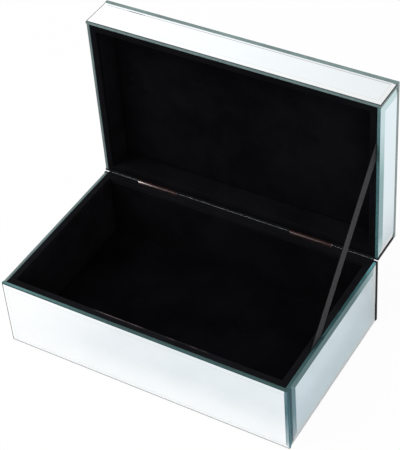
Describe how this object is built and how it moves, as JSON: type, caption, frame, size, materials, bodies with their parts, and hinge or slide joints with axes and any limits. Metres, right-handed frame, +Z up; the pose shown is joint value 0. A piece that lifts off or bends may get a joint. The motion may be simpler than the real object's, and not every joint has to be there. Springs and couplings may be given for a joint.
{
  "type": "glass casket box",
  "caption": "Rectangular keepsake box of bevelled mirror glass lined in black velvet, with a hinged lid that a ribbon holds upright.",
  "frame": {"origin": "centre of the base's footprint, on the table", "axes": "+X to the box's right, +Y towards the hinges at its back, +Z up"},
  "size_m": [0.25, 0.1825, 0.2145],
  "materials": {
    "mirror_glass": "polished silvered glass with a teal ground edge",
    "back_panel": "black painted fibreboard",
    "fibreboard": "bare fibreboard",
    "velvet": "black velvet",
    "felt": "black felt",
    "hinge_metal": "copper-plated",
    "pin_metal": "copper-plated",
    "screw_metal": "plain",
    "ribbon": "woven dark grey ribbon",
    "foam_tape": "white foam tape"
  },
  "bodies": {
    "base": {"base_bottom_board": "fibreboard", "base_front_board": "fibreboard", "base_back_board": "fibreboard", "base_left_board": "fibreboard", "base_right_board": "fibreboard", "base_front_mirror": "mirror_glass", "base_left_mirror": "mirror_glass", "base_right_mirror": "mirror_glass", "base_back_panel": "back_panel", "base_mirror_tape": "foam_tape", "base_front_lining": "velvet", "base_back_lining": "velvet", "base_left_lining": "velvet", "base_right_lining": "velvet", "base_floor_pad": "velvet", "base_rim_velvet": "velvet", "base_felt": "felt", "left_hinge_base_leaf": "hinge_metal", "right_hinge_base_leaf": "hinge_metal", "left_hinge_pin": "pin_metal", "right_hinge_pin": "pin_metal", "base_hinge_screws": "screw_metal", "ribbon_stay": "ribbon"},
    "lid": {"lid_top_board": "fibreboard", "lid_front_board": "fibreboard", "lid_back_board": "fibreboard", "lid_left_board": "fibreboard", "lid_right_board": "fibreboard", "lid_top_mirror": "mirror_glass", "lid_front_mirror": "mirror_glass", "lid_left_mirror": "mirror_glass", "lid_right_mirror": "mirror_glass", "lid_back_panel": "back_panel", "lid_mirror_tape": "foam_tape", "lid_front_lining": "velvet", "lid_back_lining": "velvet", "lid_left_lining": "velvet", "lid_right_lining": "velvet", "lid_pad": "velvet", "lid_rim_velvet": "velvet", "left_hinge_lid_leaf": "hinge_metal", "right_hinge_lid_leaf": "hinge_metal", "lid_hinge_screws": "screw_metal"}
  },
  "joints": [
    {"name": "lid_hinge", "type": "hinge", "parent": "base", "child": "lid", "pos_m": [0, 0.0752, 0.0643], "axis": [1, 0, 0], "range_deg": [0, 90], "deforming": ["ribbon_stay"]}
  ]
}
